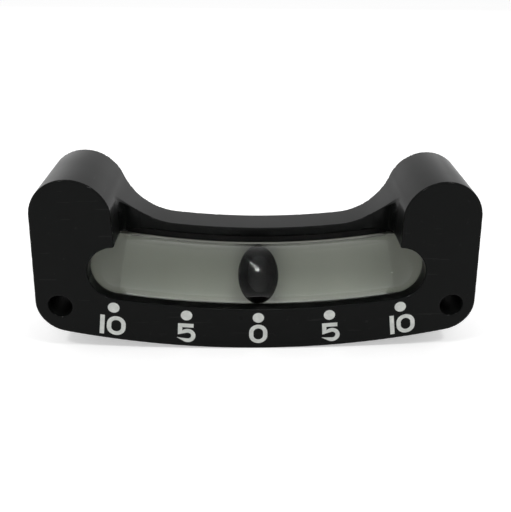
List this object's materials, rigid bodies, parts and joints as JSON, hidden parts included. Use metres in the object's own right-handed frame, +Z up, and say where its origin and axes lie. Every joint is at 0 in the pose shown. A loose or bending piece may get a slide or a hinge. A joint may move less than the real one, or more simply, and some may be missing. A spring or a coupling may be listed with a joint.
{
  "type": "ball bank indicator",
  "caption": "Ball bank indicator for an instrument panel: a ball rolls in a fluid-filled curved glass tube behind a marked window in a lobed black case.",
  "frame": {"origin": "midway between the two mounting holes, on the case's flat back face", "axes": "+X to the right along the scale as the viewer reads it, +Y backwards into the panel, +Z up"},
  "size_m": [0.0908, 0.0186, 0.0377],
  "materials": {
    "case_black": "satin black, slightly worn",
    "plate_black": "satin black",
    "screw_steel": "plain steel",
    "tube_glass": "clear, polished",
    "ball_black": "polished black",
    "bedding_white": "matt off-white compound",
    "felt_grey": "pressed felt",
    "seal_rubber": "matt black",
    "boot_rubber": "matt black",
    "mark_white": "grey-white filling, slightly domed"
  },
  "bodies": {
    "case": {"housing": "case_black", "back_plate": "plate_black", "back_plate_screws": "screw_steel", "sight_tube": "tube_glass", "tube_bedding": "bedding_white", "rear_pad": "felt_grey", "upper_seal": "seal_rubber", "left_boot": "boot_rubber", "right_boot": "boot_rubber", "dot_left_10": "mark_white", "dot_left_5": "mark_white", "dot_zero": "mark_white", "dot_right_5": "mark_white", "dot_right_10": "mark_white", "numeral_left_10": "mark_white", "numeral_left_5": "mark_white", "numeral_zero": "mark_white", "numeral_right_5": "mark_white", "numeral_right_10": "mark_white"},
    "ball": {"ball": "ball_black"}
  },
  "joints": [
    {"name": "ball_roll", "type": "hinge", "parent": "case", "child": "ball", "pos_m": [0, -0.012, 0.1681], "axis": [0, 1, 0], "range_deg": [-9.9, 9.9]}
  ]
}
